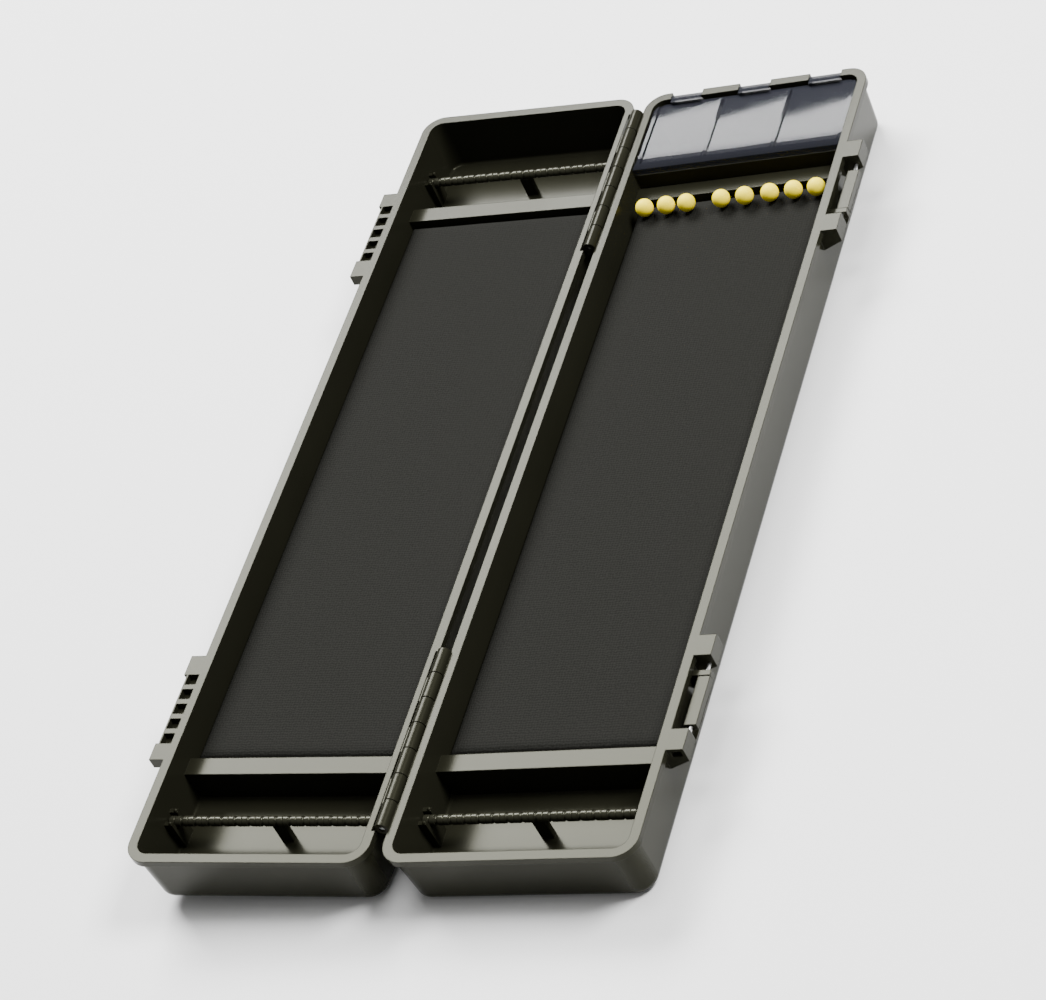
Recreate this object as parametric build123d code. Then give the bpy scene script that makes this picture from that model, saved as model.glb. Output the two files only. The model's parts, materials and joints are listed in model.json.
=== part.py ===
from build123d import *
import os

# Carp rig box: two shallow trays of the same size, joined along their long sides.
# All sizes are millimetres. The box lies open: the base tray is on +X, the lid tray on -X,
# and the near end of the box is towards -Y. Z is up and the base stands on Z = 0.

# The two trays
tray_length = 350.0
tray_width = 87.7
tray_height = 23.0
corner_radius = 8.0
wall = 2.0
rim_width = 3.4
rim_overhang = rim_width - wall
rim_height = 3.2
floor_thickness = 2.4
wall_draft = 2.5
wall_bite = 0.3
bottom_fillet = 3.0
inner_radius = corner_radius - rim_width
well_depth = tray_height - floor_thickness

# The main hinge line
rim_spacing = 4.44
rim_edge = rim_spacing / 2
rim_clearance = 0.1
lid_rest_tilt = 2.5
barrel_radius = 2.4
knuckle_count = 7
knuckle_pitch = 10.19
knuckle_gap = 0.3
hinge_pin_radius = 1.0
running_clearance = 0.05
barrel_clearance = 0.35
near_hinge_start = 12.7
far_hinge_from_end = 80.7
knuckle_web_depth = 3.0
lid_rim_relief = 1.3

# Ledges, foam and wells
ledge_inner = 41.6
ledge_width = 6.7
ledge_top = 8.5
ledge_skin = 1.8
soft_clearance = 0.3
foam_top = 9.05

# Rods that rig loops are hooked on
rod_radius = 1.75
rod_from_end = 24.5
rod_depth = 11.0
rod_groove_pitch = 5.0
rod_groove_width = 1.3
rod_groove_depth = 0.3
rod_end_clearance = 0.4
prong_thickness = 1.6
prong_reach = 3.2
prong_top = 8.8
prong_clearance = 0.1
bead_radius = 0.7
post_width = 4.3
post_thickness = 2.2

# The compartment box at the far end of the base
box_depth = 40.4
box_wall = 1.4
box_wall_top = 3.2
divider = 1.4
cell_count = 3
clear_thickness = 1.5
clear_side_gap = 0.35
clear_back_gap = 0.8
clear_rest_gap = 0.05
clear_lip_depth = 3.2
clear_lip_top = 0.6
clear_lip_setback = 0.3
clear_frame = 1.6
clear_frame_height = 0.7
clear_frame_setback = 1.5
clear_axis_from_end = 2.1
clear_axis_depth = 1.4
clear_barrel_radius = 1.3
clear_pin_radius = 0.5
clear_tab_width = 11.8
clear_tab_shares = (0.1545, 0.4895, 0.832)
clear_notch_gap = 0.3
clear_notch_extra = 0.1

# Latches on the outer long sides
bracket_reach = 5.8
latch_start = 39.8
ear_width = 8.2
latch_opening = 28.8
ear_depth = 9.5
ear_straight = 5.8
ear_core_depth = 2.5
ear_core_skin = 1.2
rib_from_ear = 3.5
rib_thickness = 2.1
rib_top = 3.0
latch_pivot_out = 3.75
latch_pivot_depth = 4.4
latch_pin_radius = 0.6
latch_pin_end_margin = 1.7
clip_from_ear = 3.9
clip_side_gap = 0.2
clip_bar_width = 4.2
clip_bar_height = 2.4
clip_plate = 1.4
clip_hook_reach = 1.2
clip_hook_thickness = 1.2
clip_grip = 0.5
clip_lean = 15.0
catch_clearance = 0.15
catch_reach = 5.5
catch_depth = 4.2
catch_end_setback = 1.4
catch_recess = 1.2
catch_recess_depth = 3.2
catch_pockets = 5
catch_pocket = 4.1
catch_rib = 2.1
catch_wall = 0.6
catch_pocket_depth = 2.5

# Ball-headed rig pins
pin_shares = (0.088, 0.194, 0.293, 0.461, 0.5735, 0.6935, 0.806, 0.9135)
pin_row_from_ledge = 7.0
ball_radius = 3.3
pin_shaft_radius = 0.5
pin_shaft_clearance = 0.3
pin_tip_length = 3.0
pin_floor_gap = 0.4

# Places worked out from the sizes above
tray_middle = rim_edge + tray_width / 2
axis_height = tray_height + rim_clearance
outer_edge = rim_edge + tray_width
inner_near_x = rim_edge + rim_width
inner_far_x = outer_edge - rim_width
inner_width = tray_width - 2 * rim_width
ledge_end = ledge_inner + ledge_width
pin_row = tray_length - ledge_end - pin_row_from_ledge
box_wall_front = tray_length - box_depth
near_ear = (latch_start, latch_start + ear_width)
far_ear = (near_ear[1] + latch_opening, near_ear[1] + latch_opening + ear_width)
thin_rib = (far_ear[0] - rib_from_ear - rib_thickness, far_ear[0] - rib_from_ear)
catch_face = catch_reach - catch_recess
catch_pocket_run = catch_pockets * catch_pocket + (catch_pockets - 1) * catch_rib
catch_pocket_start = (near_ear[1] + far_ear[0] - catch_pocket_run) / 2
hinge_starts = (near_hinge_start, tray_length - far_hinge_from_end)


def along(distance_from_near_end):
    """The Y of a place measured from the near end of the rim."""
    return distance_from_near_end - tray_length / 2


def block(x0, x1, y0, y1, z0, z1):
    """A box between two corners, Y measured from the near end of the rim."""
    centre = ((x0 + x1) / 2, (along(y0) + along(y1)) / 2, (z0 + z1) / 2)
    return Pos(*centre) * Box(abs(x1 - x0), abs(y1 - y0), abs(z1 - z0))


def rod_along_y(x, z, radius, y0, y1):
    """A round bar along Y, its ends measured from the near end of the rim."""
    middle = (along(y0) + along(y1)) / 2
    return Pos(x, middle, z) * Rot(90, 0, 0) * Cylinder(radius, y1 - y0)


def rod_along_x(y, z, radius, x0, x1):
    """A round bar along X at a distance from the near end of the rim."""
    return Pos((x0 + x1) / 2, along(y), z) * Rot(0, 90, 0) * Cylinder(radius, x1 - x0)


def drafted(width, length, radius, top, depth):
    """A rounded block that narrows downwards by the moulding draft."""
    inset = depth * math_tan(wall_draft)
    upper = Pos(tray_middle, 0, top) * RectangleRounded(width, length, radius)
    lower_size = (width - 2 * inset, length - 2 * inset)
    lower = Pos(tray_middle, 0, top - depth) * RectangleRounded(*lower_size, radius)
    return loft([upper.face(), lower.face()])


def math_tan(degrees):
    """The tangent of an angle in degrees, from the slope of a turned vector."""
    turned = Vector(1, 0, 0).rotate(Axis.Z, degrees)
    return turned.Y / turned.X


def mirror_ends(distance):
    """The same place measured from the far end instead of the near end."""
    return tray_length - distance


# Tray features, in tray coordinates: Z = 0 is the rim plane

def tray_body():
    """An open drafted tray with a thickened rim and a rounded bottom edge."""
    overhang = 2 * rim_overhang
    outer = drafted(
        tray_width - overhang, tray_length - overhang, corner_radius - rim_overhang, 0, tray_height
    )
    outer = fillet(outer.faces().sort_by(Axis.Z)[0].edges(), bottom_fillet)
    rim = Pos(tray_middle, 0, -rim_height / 2) * extrude(
        RectangleRounded(tray_width, tray_length, corner_radius), rim_height / 2, both=True
    )
    rim = chamfer(rim.faces().sort_by(Axis.Z)[0].edges(), rim_overhang / 2)
    hollow = drafted(
        inner_width, tray_length - 2 * rim_width, inner_radius, 0, well_depth
    )
    hollow = fillet(hollow.faces().sort_by(Axis.Z)[0].edges(), wall / 2)
    return outer + rim, hollow


def ledge(start):
    """A raised step across the tray, cored out from below so that its skin is even."""
    step = block(inner_near_x - wall_bite, inner_far_x + wall_bite, start, start + ledge_width,
                 -tray_height + wall / 2, -ledge_top)
    core = block(inner_near_x + wall, inner_far_x - wall, start + ledge_skin,
                 start + ledge_width - ledge_skin, -tray_height - wall, -ledge_top - ledge_skin)
    return step, core


def cradle(place):
    """The prongs on both side walls and the middle post that hold a rod."""
    y = place
    inner = rod_radius + prong_clearance
    parts = []
    walls = ((inner_near_x, 1), (inner_far_x, -1))
    for wall_x, side in walls:
        foot = wall_x - side * wall_bite
        tip = wall_x + side * prong_reach
        x0, x1 = min(foot, tip), max(foot, tip)
        for hand in (-1, 1):
            near = y + hand * inner
            far = y + hand * (inner + prong_thickness)
            parts.append(block(x0, x1, min(near, far), max(near, far), -well_depth - 1, -prong_top))
            bead = Pos(tip - side * bead_radius, along((near + far) / 2), -prong_top)
            parts.append(bead * Sphere(bead_radius))
        saddle_top = -rod_depth - inner
        parts.append(block(x0, x1, y - inner, y + inner, -well_depth - 1, saddle_top))
    post = block(tray_middle - post_width / 2, tray_middle + post_width / 2,
                 y - post_thickness / 2, y + post_thickness / 2, -well_depth - 1, -rod_depth)
    post -= rod_along_x(y, -rod_depth, inner, tray_middle - post_width, tray_middle + post_width)
    parts.append(post)
    return parts


def knuckle_span(start, index):
    """The two ends of one hinge knuckle along the hinge line."""
    first = start + index * knuckle_pitch
    return first + knuckle_gap / 2, first + knuckle_pitch - knuckle_gap / 2


def knuckles(own_indices, hole_radius):
    """Barrels and webs of one tray, and the room that the other tray's barrels need."""
    solid = []
    room = []
    axis_z = rim_clearance
    for start in hinge_starts:
        end = start + knuckle_count * knuckle_pitch
        for index in range(knuckle_count):
            y0, y1 = knuckle_span(start, index)
            if index in own_indices:
                solid.append(rod_along_y(0, axis_z, barrel_radius, y0, y1))
                solid.append(block(barrel_radius / 3, inner_near_x, y0, y1,
                                   -knuckle_web_depth, -rim_clearance * 2))
            else:
                reach = barrel_radius + barrel_clearance
                room.append(rod_along_y(0, axis_z, reach, y0 - knuckle_gap, y1 + knuckle_gap))
        room_bore = rod_along_y(0, axis_z, hole_radius, start - 1, end + 1)
        room.append(room_bore)
    return solid, room


def half_shell(own_indices, hole_radius, rod_places, relieve_rim):
    """One tray with its ledges, rod cradles and hinge knuckles."""
    body, hollow = tray_body()
    if relieve_rim:
        for start in hinge_starts:
            end = start + knuckle_count * knuckle_pitch
            body -= block(rim_edge - 1, rim_edge + lid_rim_relief, start - knuckle_gap,
                          end + knuckle_gap, -rim_height - 0.2, 1)
    solid, room = knuckles(own_indices, hole_radius)
    for piece in solid:
        body += piece
    body -= hollow
    inside = []
    cores = []
    for start in (ledge_inner, mirror_ends(ledge_inner) - ledge_width):
        step, core = ledge(start)
        inside.append(step)
        cores.append(core)
    for place in rod_places:
        inside.extend(cradle(place))
    for piece in inside:
        body += piece
    for piece in cores + room:
        body -= piece
    return body


def bracket_spans(span):
    """A latch feature near each end of the tray: the far one mirrors the near one."""
    return [span, (mirror_ends(span[1]), mirror_ends(span[0]))]


def gusset(y0, y1, top):
    """A bracket on the outer wall, straight at first and then sloping back into the wall."""
    root = outer_edge - rim_overhang - wall / 2
    tip = outer_edge + bracket_reach
    corners = [(root, -top), (tip, -top), (tip, -ear_straight), (root, -ear_depth)]
    outline = Plane.XZ * make_face(Polyline(*corners, close=True))
    return Pos(0, along(y1), 0) * extrude(outline, amount=y1 - y0, dir=(0, -1, 0))


def latch_ears():
    """The two ears and the thin rib that carry each latch pin."""
    parts = []
    for span in (near_ear, far_ear):
        for y0, y1 in bracket_spans(span):
            parts.append(gusset(y0, y1, 0))
    for y0, y1 in bracket_spans(thin_rib):
        parts.append(gusset(y0, y1, rib_top))
    return parts


def ear_cores():
    """The small moulding core in the end face of each latch's outermost ear."""
    x0 = outer_edge + ear_core_skin
    x1 = outer_edge + bracket_reach - ear_core_skin
    top = -ear_core_skin
    bottom = latch_pin_radius - latch_pivot_depth + ear_core_skin / 3
    inset = near_ear[0] + ear_core_depth
    return [block(x0, x1, y0, y1, bottom, top) for y0, y1 in bracket_spans((near_ear[0] - 1, inset))]


def latch_pin_ends():
    """The two ends of each latch pin along the box."""
    y0 = near_ear[0] + latch_pin_end_margin
    y1 = far_ear[1] - latch_pin_end_margin
    return bracket_spans((y0, y1))


def catch():
    """The pocketed block on the lid's rim that each latch hooks over."""
    y0 = near_ear[0] + catch_end_setback
    y3 = far_ear[1]
    y1 = catch_pocket_start
    y2 = catch_pocket_start + catch_pocket_run
    root = outer_edge - rim_overhang
    parts = []
    for span in ((y0, y1), (y2, y3)):
        for a, b in bracket_spans(span):
            parts.append(block(root, outer_edge + catch_reach, a, b, -catch_depth, 0))
    for a, b in bracket_spans((y1, y2)):
        parts.append(block(root, outer_edge + catch_face, a, b, -catch_recess_depth, 0))
    pockets = []
    outer = outer_edge + catch_face - catch_wall
    for index in range(catch_pockets):
        start = catch_pocket_start + index * (catch_pocket + catch_rib)
        for a, b in bracket_spans((start, start + catch_pocket)):
            pockets.append(block(outer - catch_pocket, outer, a, b, -catch_pocket_depth, 1))
    return parts, pockets


def compartment_walls():
    """The front wall and the dividers of the small compartment box."""
    back = mirror_ends(rim_width) + wall_bite
    parts = [block(inner_near_x - wall_bite, inner_far_x + wall_bite, box_wall_front,
                   box_wall_front + box_wall, -well_depth - 1, -box_wall_top)]
    for index in range(1, cell_count):
        x = inner_near_x + inner_width * index / cell_count
        parts.append(block(x - divider / 2, x + divider / 2, box_wall_front, back,
                           -well_depth - 1, -box_wall_top))
    return parts


def clear_tab_ends():
    """The two ends in X of each hinge tab on the clear lid."""
    half = clear_tab_width / 2
    centres = [inner_near_x + share * inner_width for share in clear_tab_shares]
    return [(centre - half, centre + half) for centre in centres]


def clear_axis():
    """Where the clear lid's hinge axis lies: from the near end, and below the rim."""
    return mirror_ends(clear_axis_from_end), -clear_axis_depth


def clear_lid_room():
    """Notches in the far rim for the clear lid's tabs, and the bore of its pin."""
    y, z = clear_axis()
    depth = rim_height + clear_notch_extra
    rooms = []
    for x0, x1 in clear_tab_ends():
        rooms.append(block(x0 - clear_notch_gap, x1 + clear_notch_gap, mirror_ends(rim_width) - 1,
                           tray_length + 1, -depth, 1))
    x0 = clear_tab_ends()[0][0] - wall
    x1 = clear_tab_ends()[-1][1] + wall
    rooms.append(rod_along_x(y, z, clear_pin_radius, x0, x1))
    return rooms


def base_shell():
    """The base tray, with latch ears, compartment walls and the clear lid's hinge seats."""
    body = half_shell((0, 2, 4, 6), hinge_pin_radius, (rod_from_end,), False)
    for piece in latch_ears() + compartment_walls():
        body += piece
    x = outer_edge + latch_pivot_out
    for y0, y1 in latch_pin_ends():
        body -= rod_along_y(x, -latch_pivot_depth, latch_pin_radius, y0, y1)
    for piece in ear_cores() + clear_lid_room():
        body -= piece
    return body


def lid_shell():
    """The lid tray, with the two pocketed catches on its outer rim."""
    places = (rod_from_end, mirror_ends(rod_from_end))
    body = half_shell((1, 3, 5), hinge_pin_radius + running_clearance, places, True)
    parts, pockets = catch()
    for piece in parts:
        body += piece
    for piece in pockets:
        body -= piece
    return body


def foam_pad():
    """The pad between the two ledges; it stands clear of everything round it."""
    y0 = ledge_inner + ledge_width + soft_clearance
    depth = well_depth - soft_clearance - foam_top
    length = mirror_ends(y0) - y0
    slope = math_tan(wall_draft)
    width = inner_width - 2 * soft_clearance - 2 * foam_top * slope
    foot = width - 2 * depth * slope
    upper = Pos(tray_middle, 0, -foam_top) * Rectangle(width, length)
    lower = Pos(tray_middle, 0, -foam_top - depth) * Rectangle(foot, length)
    return loft([upper.face(), lower.face()])


def pin_xs():
    """The X of each rig pin across the tray."""
    return [inner_near_x + share * inner_width for share in pin_shares]


def base_foam():
    """The base's pad, pierced where the eight rig pins stand."""
    pad = foam_pad()
    radius = pin_shaft_radius + pin_shaft_clearance
    for x in pin_xs():
        pad -= Pos(x, along(pin_row), -well_depth) * Cylinder(radius, 3 * well_depth)
    return pad


def grooved_rod(place):
    """A round rod with even grooves that keep the rig loops apart."""
    slope = rod_depth * math_tan(wall_draft)
    x0 = inner_near_x + slope + rod_end_clearance
    x1 = inner_far_x - slope - rod_end_clearance
    rod = rod_along_x(place, -rod_depth, rod_radius, x0, x1)
    count = int((x1 - x0) / rod_groove_pitch)
    first = (x0 + x1) / 2 - (count - 1) * rod_groove_pitch / 2
    for index in range(count):
        x = first + index * rod_groove_pitch
        ring = rod_along_x(place, -rod_depth, rod_radius + 1, x - rod_groove_width / 2,
                           x + rod_groove_width / 2)
        core = rod_along_x(place, -rod_depth, rod_radius - rod_groove_depth, x - rod_groove_width,
                           x + rod_groove_width)
        rod -= ring - core
    return rod


def hinge_pin(start):
    """A steel pin through the seven knuckles of one hinge."""
    end = start + knuckle_count * knuckle_pitch
    return rod_along_y(0, rim_clearance, hinge_pin_radius, start + 0.6, end - 0.6)


def clip_arm():
    """The side outline of a clip's plate and hook, hanging straight down from the pivot."""
    face = latch_pivot_out - catch_face - clip_side_gap
    back = face - clip_plate
    closed_hook = 2 * rim_clearance + catch_recess_depth + catch_clearance
    hook_face = -latch_pivot_depth - closed_hook
    end = hook_face - clip_hook_thickness
    tip = face + clip_hook_reach
    bevel = clip_hook_thickness / 2
    return [
        (back, 0), (face, 0), (face, hook_face), (tip, hook_face), (tip, end + bevel),
        (tip - bevel, end), (back - clip_grip, end), (back - clip_grip, end + bevel),
        (back, end + bevel + clip_grip),
    ]


def latch_clip(mirrored):
    """A flip-over latch clip that hangs from its pin, leaning in to the wall, when open."""
    y0, y1 = bracket_spans((near_ear[1] + clip_from_ear, thin_rib[0] - clip_side_gap))[mirrored]
    width = y1 - y0
    arm = Plane.XZ * make_face(Polyline(*clip_arm(), close=True))
    arm = Rot(0, clip_lean, 0) * Pos(0, width / 2, 0) * extrude(arm, amount=width, dir=(0, -1, 0))
    clip = Box(clip_bar_width, width, clip_bar_height) + arm
    clip -= Rot(90, 0, 0) * Cylinder(latch_pin_radius + running_clearance, width + 2)
    middle = along((y0 + y1) / 2)
    return Pos(outer_edge + latch_pivot_out, middle, -latch_pivot_depth) * clip


def latch_pin(mirrored):
    """The steel pin of one latch."""
    y0, y1 = latch_pin_ends()[mirrored]
    x = outer_edge + latch_pivot_out
    return rod_along_y(x, -latch_pivot_depth, latch_pin_radius, y0, y1)


def clear_lid():
    """The smoke-tinted lid of the compartments: plate, raised frame, lip and three hinge tabs."""
    y_axis, z_axis = clear_axis()
    under = -box_wall_top + clear_rest_gap
    top = under + clear_thickness
    x0 = inner_near_x + clear_side_gap
    x1 = inner_far_x - clear_side_gap
    front = box_wall_front + clear_lip_setback
    back = mirror_ends(rim_width) - clear_back_gap
    plate = block(x0, x1, front, back, under, top)
    plate += block(x0, x1, front, front + clear_lip_depth, under, -clear_lip_top)
    frame_end = back - clear_frame_setback
    for edge in (x0, x1 - clear_frame):
        plate += block(edge, edge + clear_frame, front, frame_end, under, top + clear_frame_height)
    for index in range(1, cell_count):
        x = inner_near_x + inner_width * index / cell_count
        plate += block(x - divider / 2, x + divider / 2, front, frame_end, under,
                       top + clear_frame_height)
    plate &= clear_lid_outline()
    for tab_x0, tab_x1 in clear_tab_ends():
        plate += rod_along_x(y_axis, z_axis, clear_barrel_radius, tab_x0, tab_x1)
        plate += block(tab_x0, tab_x1, back - 1, y_axis, z_axis - clear_barrel_radius,
                       z_axis + clear_barrel_radius)
    bore = clear_pin_radius + running_clearance
    plate -= rod_along_x(y_axis, z_axis, bore, x0 - 1, x1 + 1)
    return plate


def clear_lid_outline():
    """The plan outline of the well with the lid's gaps taken off, as a tall block."""
    size = (inner_width - 2 * clear_side_gap, tray_length - 2 * rim_width - 2 * clear_back_gap)
    outline = Pos(tray_middle, 0, 0) * RectangleRounded(*size, inner_radius)
    return extrude(outline, amount=well_depth, both=True)


def clear_lid_pin():
    """The thin steel pin that the clear lid turns on."""
    y, z = clear_axis()
    x0 = clear_tab_ends()[0][0] - wall
    x1 = clear_tab_ends()[-1][1] + wall
    return rod_along_x(y, z, clear_pin_radius, x0, x1)


def pin_ball(x):
    """The yellow ball head of a rig pin, resting on the foam."""
    z = -foam_top + ball_radius
    return Pos(x, along(pin_row), z) * Sphere(ball_radius)


def pin_shaft(x):
    """The steel shaft of a rig pin, with a sharp tip, standing in the foam."""
    top = -foam_top + ball_radius * 0.15
    bottom = -well_depth + pin_floor_gap
    straight = top - bottom - pin_tip_length
    place = Pos(x, along(pin_row), top - straight / 2)
    shaft = place * Cylinder(pin_shaft_radius, straight)
    tip = Pos(x, along(pin_row), bottom + pin_tip_length / 2)
    return shaft + tip * Cone(pin_shaft_radius * 0.15, pin_shaft_radius, pin_tip_length)


# From tray coordinates to the shared frame

def on_base(shape):
    """Stand a base piece on Z = 0."""
    return Pos(0, 0, tray_height) * shape


def on_lid(shape):
    """Mirror a lid piece to -X and lift its outer edge by the rest tilt."""
    mirrored = mirror(Pos(0, 0, tray_height) * shape, about=Plane.YZ)
    to_axis = Pos(0, 0, axis_height) * Rot(0, lid_rest_tilt, 0) * Pos(0, 0, -axis_height)
    return to_axis * mirrored


def save(shape, name):
    """Write one named piece."""
    shape.label = name
    export_step(shape, "parts/" + name + ".step")


os.makedirs("parts", exist_ok=True)
save(on_base(base_shell()), "base_shell")
save(on_lid(lid_shell()), "lid_shell")
save(on_base(base_foam()), "base_foam")
save(on_lid(foam_pad()), "lid_foam")
save(on_base(grooved_rod(rod_from_end)), "base_rod")
save(on_lid(grooved_rod(rod_from_end)), "lid_rod_near")
save(on_lid(grooved_rod(mirror_ends(rod_from_end))), "lid_rod_far")
save(on_base(hinge_pin(hinge_starts[0])), "hinge_pin_near")
save(on_base(hinge_pin(hinge_starts[1])), "hinge_pin_far")
save(on_base(latch_clip(0)), "latch_clip_near")
save(on_base(latch_clip(1)), "latch_clip_far")
save(on_base(latch_pin(0)), "latch_pin_near")
save(on_base(latch_pin(1)), "latch_pin_far")
save(on_base(clear_lid()), "clear_lid")
save(on_base(clear_lid_pin()), "clear_lid_pin")
for number, place in enumerate(pin_xs(), 1):
    save(on_base(pin_ball(place) - pin_shaft(place)), "pin_ball_" + str(number))
    save(on_base(pin_shaft(place)), "pin_shaft_" + str(number))
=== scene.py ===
import json
import bpy
import numpy as np
from mathutils import Matrix, Vector


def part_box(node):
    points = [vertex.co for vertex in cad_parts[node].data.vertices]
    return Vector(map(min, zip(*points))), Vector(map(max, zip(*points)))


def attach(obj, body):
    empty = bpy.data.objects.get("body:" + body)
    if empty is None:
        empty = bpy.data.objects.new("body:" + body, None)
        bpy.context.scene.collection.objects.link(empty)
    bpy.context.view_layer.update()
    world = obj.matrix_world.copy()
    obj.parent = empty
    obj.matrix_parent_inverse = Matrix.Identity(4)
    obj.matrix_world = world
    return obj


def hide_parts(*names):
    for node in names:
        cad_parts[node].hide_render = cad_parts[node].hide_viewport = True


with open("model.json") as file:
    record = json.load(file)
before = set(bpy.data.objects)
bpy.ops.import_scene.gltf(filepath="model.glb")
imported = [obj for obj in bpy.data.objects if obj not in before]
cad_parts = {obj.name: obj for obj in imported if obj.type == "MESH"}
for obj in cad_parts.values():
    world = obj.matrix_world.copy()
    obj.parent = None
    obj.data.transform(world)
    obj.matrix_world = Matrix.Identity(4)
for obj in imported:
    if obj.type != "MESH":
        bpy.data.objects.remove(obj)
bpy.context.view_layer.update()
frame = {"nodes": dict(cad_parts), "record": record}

# Lengths in metres; MM turns millimetres into them
MM = 0.001

# Foam pads
PAD_STEPS = 97
PAD_CROWDING = 1.8
PAD_SAG = 0.35 * MM
PAD_WAVE = 0.12 * MM
SHOULDER_ACROSS = 40
SHOULDER_ALONG = 120
LID_TILT = np.radians(2.5)

# Moulded plastic; half a ring's width is a share of the ring pitch
PATCH_SCALE = 22.0
PATCH_RANGE = (0.3, 0.7)
PATCH_TONE = (0.9, 1.1)
GRAIN_SCALE = 2400.0
GRAIN_HEIGHT = 0.12 * MM
RING_PITCH = 2.5 * MM
RING_HALF_WIDTH = 0.11
RING_HEIGHT = 0.4 * MM

# Foam surface; its relief is the sum of both ribs and the cells
CELL_SCALE = 1500.0
CELL_WEIGHT = 1.5
RELIEF_RANGE = (0.7, 2.6)
# Painted shade: the foam's colour is darkened where its relief is low and lightened where it is high
RELIEF_PAINTED_SHADE = (0.78, 1.22)
RELIEF_ROUGHNESS = (0.95, 0.8)
RELIEF_HEIGHT = 0.3 * MM

# Clear compartment lid; its panels' middle and the start of its rolled edge lie behind its front
PANELS = 3
PANE_SIDE_GAP = 0.35 * MM
PANE_MIDDLE = 19.1 * MM
PANE_ROLL_START = 9.3 * MM
SMEAR_SCALE = 60.0
SMEAR = 0.04

# Floor and lights
FLOOR_SIZE = 8.0
FLOOR_DROP = 0.2 * MM
AIM = (0.0, 0.0, 0.01)
AMBIENT = 0.26

# Camera, placed from the near end of the hinge line in a box whose two trays lean alike
SENSOR_WIDTH = 36.0
FOCAL_LENGTH = 117.0
TRAY_LEAN = 0.0219
RIM_CORNER = Vector((0.0, -175.0, 23.0)) * MM
EYE = Vector((515.19, -545.44, 733.30)) * MM
AHEAD = Vector((-0.44811, 0.61471, -0.64910))
UPWARD = Vector((0.05630, 0.74404, 0.66576))

FLOAT = "NodeSocketFloat"
COLOR = "NodeSocketColor"
VECTOR = "NodeSocketVector"


# Building shader node groups

def new_group(name, inputs, outputs):
    """A node group with named sockets: inputs are (name, kind, value), outputs (name, kind)."""
    tree = bpy.data.node_groups.new(name, "ShaderNodeTree")
    for label, kind, value in inputs:
        socket = tree.interface.new_socket(label, in_out="INPUT", socket_type=kind)
        socket.default_value = value
    for label, kind in outputs:
        tree.interface.new_socket(label, in_out="OUTPUT", socket_type=kind)
    source = tree.nodes.new("NodeGroupInput")
    sink = tree.nodes.new("NodeGroupOutput")
    return tree, source.outputs, sink.inputs


def node(tree, kind, inputs=None, **settings):
    """Adds a node, sets its properties, and links or sets the named inputs."""
    made = tree.nodes.new(kind)
    for key, value in settings.items():
        setattr(made, key, value)
    for key, value in (inputs or {}).items():
        target = made.inputs[key]
        if isinstance(value, bpy.types.NodeSocket):
            tree.links.new(value, target)
        else:
            target.default_value = value
    return made


def maths(tree, operation, *values):
    """The result of one Math node over numbers or sockets."""
    return node(tree, "ShaderNodeMath", dict(enumerate(values)), operation=operation).outputs[0]


def noise(tree, place, scale, detail):
    """The value of a noise at a place."""
    made = node(tree, "ShaderNodeTexNoise", {"Vector": place, "Scale": scale, "Detail": detail})
    return made.outputs[0]


def remap(tree, value, before, after, **settings):
    """A value moved from the range before to the range after."""
    inputs = {"Value": value, "From Min": before[0], "From Max": before[1],
              "To Min": after[0], "To Max": after[1]}
    return node(tree, "ShaderNodeMapRange", inputs, **settings).outputs[0]


def bump(tree, height, strength, distance, normal=None):
    """A normal leaned by a height; distance is the depth of a height of 1."""
    inputs = {"Height": height, "Strength": strength, "Distance": distance}
    if normal is not None:
        inputs["Normal"] = normal
    return node(tree, "ShaderNodeBump", inputs).outputs[0]


def shaded(tree, tone_socket, factor):
    """A colour made lighter or darker by a factor."""
    made = node(tree, "ShaderNodeVectorMath", {0: tone_socket, 1: factor}, operation="MULTIPLY")
    return made.outputs[0]


# The surface groups

def moulded_group():
    """Moulded plastic: even grain, slow patches of tone and gloss, softened edges and cut rings.

    One ring lies at Ring Start along X, and one more at every Ring Pitch to both sides of it.
    """
    tree, given, out = new_group(
        "MouldedSurface",
        [("Tone", COLOR, (0.02, 0.02, 0.015, 1)), ("Roughness", FLOAT, 0.3),
         ("Grain", FLOAT, 0.1), ("Rub", FLOAT, 0.05), ("Edge", FLOAT, 0.4 * MM),
         ("Rings", FLOAT, 0.0), ("Ring Pitch", FLOAT, RING_PITCH), ("Ring Start", FLOAT, 0.0)],
        [("Color", COLOR), ("Roughness", FLOAT), ("Normal", VECTOR)],
    )
    place = node(tree, "ShaderNodeTexCoord").outputs["Object"]
    patches = noise(tree, place, PATCH_SCALE, 3.0)
    lift = remap(tree, patches, PATCH_RANGE, PATCH_TONE)
    tree.links.new(shaded(tree, given["Tone"], lift), out["Color"])
    from_middle = maths(tree, "SUBTRACT", patches, 0.5)
    rubbed = maths(tree, "MULTIPLY_ADD", from_middle, given["Rub"], given["Roughness"])
    tree.links.new(rubbed, out["Roughness"])

    softened = node(tree, "ShaderNodeBevel", {"Radius": given["Edge"]}, samples=4).outputs[0]
    along = node(tree, "ShaderNodeSeparateXYZ", {0: place}).outputs["X"]
    phase = maths(tree, "SUBTRACT", along, given["Ring Start"])
    count = maths(tree, "DIVIDE", phase, given["Ring Pitch"])
    away = maths(tree, "PINGPONG", count, 0.5)
    cut = remap(tree, away, (0.0, RING_HALF_WIDTH), (-1.0, 0.0), interpolation_type="SMOOTHSTEP")
    ringed = bump(tree, cut, given["Rings"], RING_HEIGHT, softened)
    grain = noise(tree, place, GRAIN_SCALE, 2.0)
    tree.links.new(bump(tree, grain, given["Grain"], GRAIN_HEIGHT, ringed), out["Normal"])
    return tree


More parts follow.
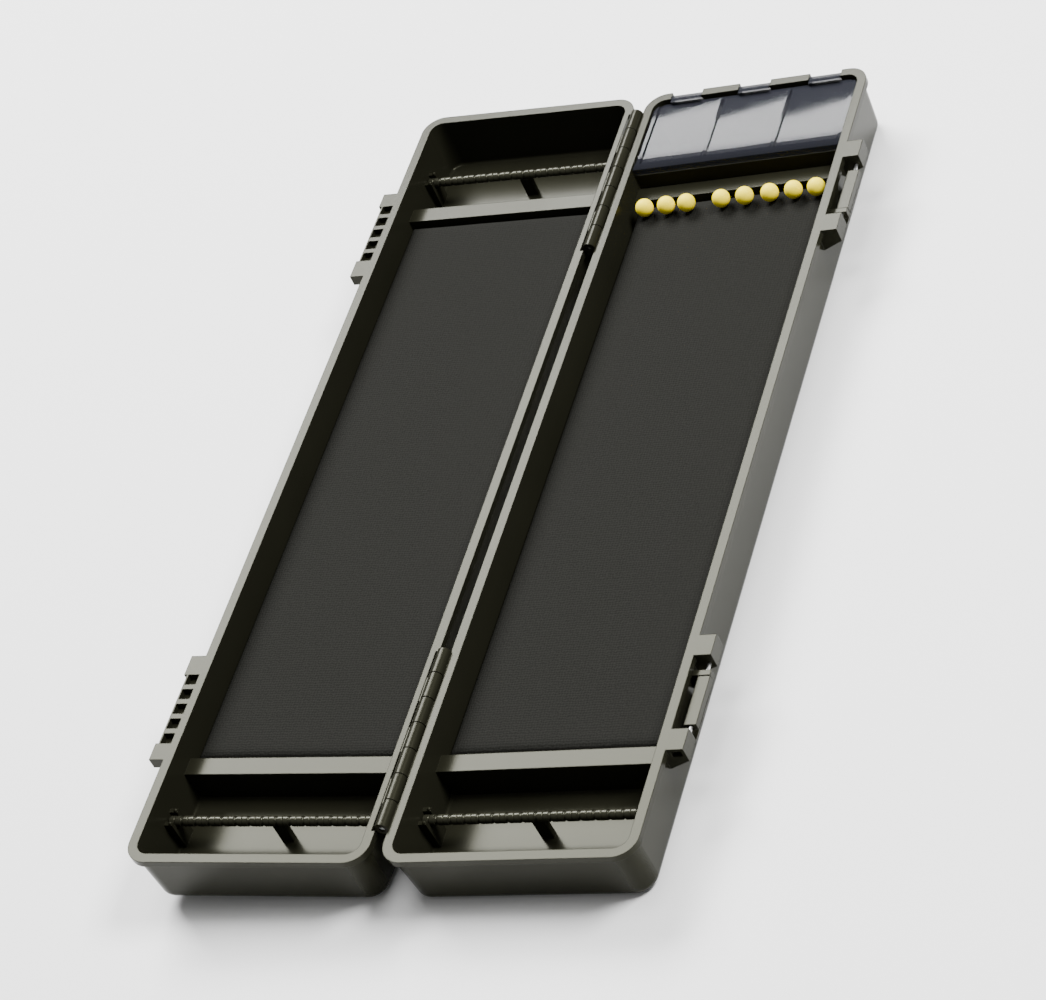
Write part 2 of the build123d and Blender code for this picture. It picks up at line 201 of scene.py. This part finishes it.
def foam_group():
    """Fine foam: wavering ribs in two directions and open cells, with painted shade making it darker
    where low and lighter where high, and rougher where low.
    """
    tree, given, out = new_group(
        "FoamSurface",
        [("Tone", COLOR, (0.05, 0.05, 0.05, 1)), ("Pitch", FLOAT, 700.0), ("Depth", FLOAT, 0.5)],
        [("Color", COLOR), ("Roughness", FLOAT), ("Normal", VECTOR)],
    )
    place = node(tree, "ShaderNodeTexCoord").outputs["Object"]
    ribs = []
    for axis in ("X", "Y"):
        wave = node(tree, "ShaderNodeTexWave",
                    {"Vector": place, "Scale": given["Pitch"], "Distortion": 5.0, "Detail": 3.0,
                     "Detail Scale": 2.2}, bands_direction=axis)
        ribs.append(wave.outputs["Fac"])
    crossed = maths(tree, "ADD", *ribs)
    cells = noise(tree, place, CELL_SCALE, 4.0)
    relief = maths(tree, "MULTIPLY_ADD", cells, CELL_WEIGHT, crossed)
    # Painted shade and light: the tone is darker in the low parts of the relief and lighter on its
    # high parts
    painted_shade = remap(tree, relief, RELIEF_RANGE, RELIEF_PAINTED_SHADE)
    tree.links.new(shaded(tree, given["Tone"], painted_shade), out["Color"])
    tree.links.new(remap(tree, relief, (0.0, 1.0), RELIEF_ROUGHNESS), out["Roughness"])
    tree.links.new(bump(tree, relief, given["Depth"], RELIEF_HEIGHT), out["Normal"])
    return tree


def pane_group():
    """Clear sheet of several slightly bowed panels with a rolled front edge.

    With u and v the distances from a panel's middle across and along, w the distance across from
    Half, the lid's middle, and t = max(0, Lip - y) over the front edge, the height is
    (Warp w ** 2 - (Across u ** 2 + Along v ** 2) - Roll t ** 2) / 2.
    """
    tree, given, out = new_group(
        "BowedPane",
        [("Tint", COLOR, (0.02, 0.02, 0.03, 1)), ("Roughness", FLOAT, 0.05),
         ("Start", FLOAT, 0.0), ("Pitch", FLOAT, 0.027), ("Middle", FLOAT, 0.15),
         ("Across", FLOAT, 1.0), ("Along", FLOAT, 1.3), ("Warp", FLOAT, 0.0),
         ("Half", FLOAT, 0.046), ("Lip", FLOAT, 0.141), ("Roll", FLOAT, 80.0)],
        [("Color", COLOR), ("Roughness", FLOAT), ("Normal", VECTOR)],
    )

    def weighted_square(distance, weight):
        """weight * distance ** 2"""
        return maths(tree, "MULTIPLY", maths(tree, "MULTIPLY", distance, distance), weight)

    place = node(tree, "ShaderNodeTexCoord").outputs["Object"]
    parts = node(tree, "ShaderNodeSeparateXYZ", {0: place}).outputs
    count = maths(tree, "DIVIDE", maths(tree, "SUBTRACT", parts["X"], given["Start"]), given["Pitch"])
    share = maths(tree, "SUBTRACT", maths(tree, "FRACT", count), 0.5)
    u = maths(tree, "MULTIPLY", share, given["Pitch"])
    v = maths(tree, "SUBTRACT", parts["Y"], given["Middle"])
    w = maths(tree, "SUBTRACT", parts["X"], given["Half"])
    t = maths(tree, "MAXIMUM", maths(tree, "SUBTRACT", given["Lip"], parts["Y"]), 0.0)
    bowed = maths(tree, "ADD", weighted_square(u, given["Across"]), weighted_square(v, given["Along"]))
    domed = maths(tree, "SUBTRACT", weighted_square(w, given["Warp"]), bowed)
    rolled = maths(tree, "SUBTRACT", domed, weighted_square(t, given["Roll"]))
    height = maths(tree, "MULTIPLY", rolled, 0.5)
    tree.links.new(bump(tree, height, 1.0, 1.0), out["Normal"])

    smears = noise(tree, place, SMEAR_SCALE, 2.0)
    smeared = maths(tree, "MULTIPLY_ADD", smears, SMEAR, given["Roughness"])
    tree.links.new(smeared, out["Roughness"])
    tree.links.new(given["Tint"], out["Color"])
    return tree


# Materials

def principled(made):
    """The shader node of a new material."""
    made.use_nodes = True
    return next(n for n in made.node_tree.nodes if n.type == "BSDF_PRINCIPLED")


def material(name, group, values, **shader):
    """A material whose colour, roughness and normal come from a shared group."""
    made = bpy.data.materials.new(name)
    bsdf = principled(made)
    tree = made.node_tree
    surface = tree.nodes.new("ShaderNodeGroup")
    surface.node_tree = group
    for key, value in values.items():
        surface.inputs[key].default_value = value
    tree.links.new(surface.outputs["Color"], bsdf.inputs["Base Color"])
    tree.links.new(surface.outputs["Roughness"], bsdf.inputs["Roughness"])
    tree.links.new(surface.outputs["Normal"], bsdf.inputs["Normal"])
    for key, value in shader.items():
        bsdf.inputs[key.replace("_", " ")].default_value = value
    return made


def tone(red, green, blue):
    """A linear colour with full alpha."""
    return (red, green, blue, 1.0)


MOULDED = moulded_group()
FOAM = foam_group()
PANE = pane_group()
OLIVE_SHEEN = tone(1.0, 1.0, 0.74)


def rod_plastic(name, node_name):
    """Rod plastic whose rings are centred on a rod, so that they keep step with its grooves."""
    low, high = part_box(node_name)
    return material(name, MOULDED,
                    {"Tone": tone(0.018, 0.018, 0.012), "Roughness": 0.2, "Grain": 0.04,
                     "Rub": 0.05, "Edge": 0.2 * MM, "Rings": 0.6,
                     "Ring Start": (low.x + high.x) / 2},
                    Specular_IOR_Level=0.16, Specular_Tint=OLIVE_SHEEN)


def smoke_plastic():
    """The tinted clear lid, its panels placed from the lid's own box."""
    low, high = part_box("clear_lid")
    start = low.x - PANE_SIDE_GAP
    made = material("SmokeClear", PANE,
                    {"Tint": tone(0.0185, 0.0195, 0.025), "Roughness": 0.03, "Start": start,
                     "Pitch": (high.x + PANE_SIDE_GAP - start) / PANELS,
                     "Middle": low.y + PANE_MIDDLE, "Across": 1.22, "Along": 1.5, "Warp": 0.91,
                     "Half": (low.x + high.x) / 2, "Lip": low.y + PANE_ROLL_START, "Roll": 85.0},
                    Alpha=0.72, IOR=1.5, Specular_IOR_Level=0.13)
    made.surface_render_method = "BLENDED"
    return made


tray_plastic = material("TrayPlastic", MOULDED,
                        {"Tone": tone(0.012, 0.012, 0.0075), "Roughness": 0.22, "Grain": 0.06,
                         "Rub": 0.08},
                        Specular_IOR_Level=0.10, Specular_Tint=OLIVE_SHEEN)
base_rod_plastic = rod_plastic("RodPlastic", "base_rod")
lid_rod_plastic = rod_plastic("LidRodPlastic", "lid_rod_near")
drawn_steel = material("DrawnSteel", MOULDED,
                       {"Tone": tone(0.55, 0.55, 0.54), "Roughness": 0.28, "Grain": 0.05,
                        "Rub": 0.1},
                       Metallic=1.0)
bead_yellow = material("BeadYellow", MOULDED,
                       {"Tone": tone(1.0, 0.80, 0.02), "Roughness": 0.4, "Grain": 0.03,
                        "Rub": 0.1},
                       Specular_IOR_Level=0.1)
charcoal_foam = material("CharcoalFoam", FOAM,
                         {"Tone": tone(0.0098, 0.0098, 0.0084), "Pitch": 310.0, "Depth": 0.28},
                         Specular_IOR_Level=0.05)

FINISH = {"shell": tray_plastic, "clip": tray_plastic, "rod": base_rod_plastic,
          "steel": drawn_steel, "yellow": bead_yellow, "foam": charcoal_foam,
          "smoke": smoke_plastic()}
SLOTS = {part["node"]: part["material_slot"] for part in frame["record"]["subparts"]}
for name, carried in frame["nodes"].items():
    finish = lid_rod_plastic if name.startswith("lid_rod") else FINISH[SLOTS[name]]
    carried.data.materials.clear()
    carried.data.materials.append(finish)


# Foam pads

def grid_mesh(name, points):
    """A smooth quad mesh over a grid of points."""
    rows, columns = points.shape[:2]
    row, column = np.meshgrid(np.arange(rows - 1), np.arange(columns - 1), indexing="ij")
    first = (row * columns + column).ravel()
    faces = np.stack([first, first + columns, first + columns + 1, first + 1], axis=1)
    mesh = bpy.data.meshes.new(name)
    mesh.from_pydata(points.reshape(-1, 3).tolist(), [], faces.tolist())
    mesh.polygons.foreach_set("use_smooth", np.ones(len(faces), bool))
    return mesh


def pad_heights(a, b, thickness):
    """The height of a pad's surface over its underside, for a and b from -1 to 1.

    It is (thickness - sag - |wave|) * shoulder, where sag = PAD_SAG (1 - cos(pi a / 2)
    cos(pi b / 2)), wave = PAD_WAVE sin(9 b + 2 a) sin(4 a + 1), and shoulder is the lower of
    sqrt(1 - |a| ** SHOULDER_ACROSS) and sqrt(1 - |b| ** SHOULDER_ALONG).
    """
    shoulder = np.minimum(np.sqrt(1 - np.abs(a) ** SHOULDER_ACROSS),
                          np.sqrt(1 - np.abs(b) ** SHOULDER_ALONG))
    sag = PAD_SAG * (1 - np.cos(np.pi * a / 2) * np.cos(np.pi * b / 2))
    wave = PAD_WAVE * np.sin(9 * b + 2 * a) * np.sin(4 * a + 1)
    return (thickness - sag - np.abs(wave)) * shoulder


def pad(name, node_name, body, tilt):
    """A foam pad in its solid's space, worked out level and then turned by the tray's tilt.

    The grid's steps s from -1 to 1 are crowded towards the edges:
    a = sign(s) (1 - (1 - |s|) ** PAD_CROWDING).
    """
    vertices = frame["nodes"][node_name].data.vertices
    flat = np.empty(len(vertices) * 3)
    vertices.foreach_get("co", flat)
    turn = Matrix.Rotation(tilt, 3, "Y")
    level = flat.reshape(-1, 3) @ np.array(turn.inverted()).T
    low, high = level.min(0), level.max(0)
    step = np.linspace(-1, 1, PAD_STEPS)
    crowded = np.sign(step) * (1 - (1 - np.abs(step)) ** PAD_CROWDING)
    a, b = np.meshgrid(crowded, crowded, indexing="ij")
    x = (low[0] + high[0]) / 2 + a * (high[0] - low[0]) / 2
    y = (low[1] + high[1]) / 2 + b * (high[1] - low[1]) / 2
    z = low[2] + pad_heights(a, b, high[2] - low[2])
    points = np.stack([x, y, z], axis=-1) @ np.array(turn).T
    made = bpy.data.objects.new(name, grid_mesh(name, points))
    bpy.context.collection.objects.link(made)
    made.data.materials.append(charcoal_foam)
    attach(made, body)
    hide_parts(node_name)


pad("BaseFoamPad", "base_foam", "base", 0.0)
pad("LidFoamPad", "lid_foam", "lid", LID_TILT)


# Floor, lights and camera

def pale_floor():
    """A plain matt floor just under the base."""
    bpy.ops.mesh.primitive_plane_add(size=FLOOR_SIZE, location=(0, 0, -FLOOR_DROP))
    floor = bpy.context.object
    floor.name = "Floor"
    matt = bpy.data.materials.new("PaleFloor")
    bsdf = principled(matt)
    bsdf.inputs["Base Color"].default_value = tone(0.9, 0.9, 0.9)
    bsdf.inputs["Roughness"].default_value = 0.95
    floor.data.materials.append(matt)


def softbox(name, place, size, power):
    """A rectangular soft light that faces the object."""
    data = bpy.data.lights.new(name, "AREA")
    data.shape = "RECTANGLE"
    data.size, data.size_y = size
    data.energy = power
    lamp = bpy.data.objects.new(name, data)
    lamp.location = place
    lamp.rotation_euler = (Vector(AIM) - Vector(place)).to_track_quat("-Z", "Y").to_euler()
    bpy.context.collection.objects.link(lamp)


def ambient_light():
    """An even white surround."""
    world = bpy.data.worlds.new("Studio")
    world.use_nodes = True
    background = world.node_tree.nodes["Background"]
    background.inputs["Color"].default_value = tone(1.0, 1.0, 1.0)
    background.inputs["Strength"].default_value = AMBIENT
    bpy.context.scene.world = world


def camera():
    """The scene's camera at EYE, looking along AHEAD, turned so that the base tray is level."""
    lean = Matrix.Rotation(TRAY_LEAN, 3, "Y")
    back_axis = -(lean @ AHEAD)
    up_axis = lean @ UPWARD
    right_axis = up_axis.cross(back_axis)
    turn = Matrix((right_axis, up_axis, back_axis)).transposed()
    data = bpy.data.cameras.new("Camera")
    data.sensor_width = SENSOR_WIDTH
    data.lens = FOCAL_LENGTH
    made = bpy.data.objects.new("Camera", data)
    made.matrix_world = Matrix.Translation(lean @ EYE + RIM_CORNER) @ turn.to_4x4()
    bpy.context.collection.objects.link(made)
    bpy.context.scene.camera = made


pale_floor()
softbox("BackSoftbox", (-0.8989, 1.230, 1.5469), (1.3, 0.9), 128.0)
softbox("RightSoftbox", (1.2, 0.35, 1.55), (0.7, 0.6), 66.0)
softbox("TopSoftbox", (0.1, 0.1, 2.2), (0.9, 0.9), 26.0)
ambient_light()
camera()
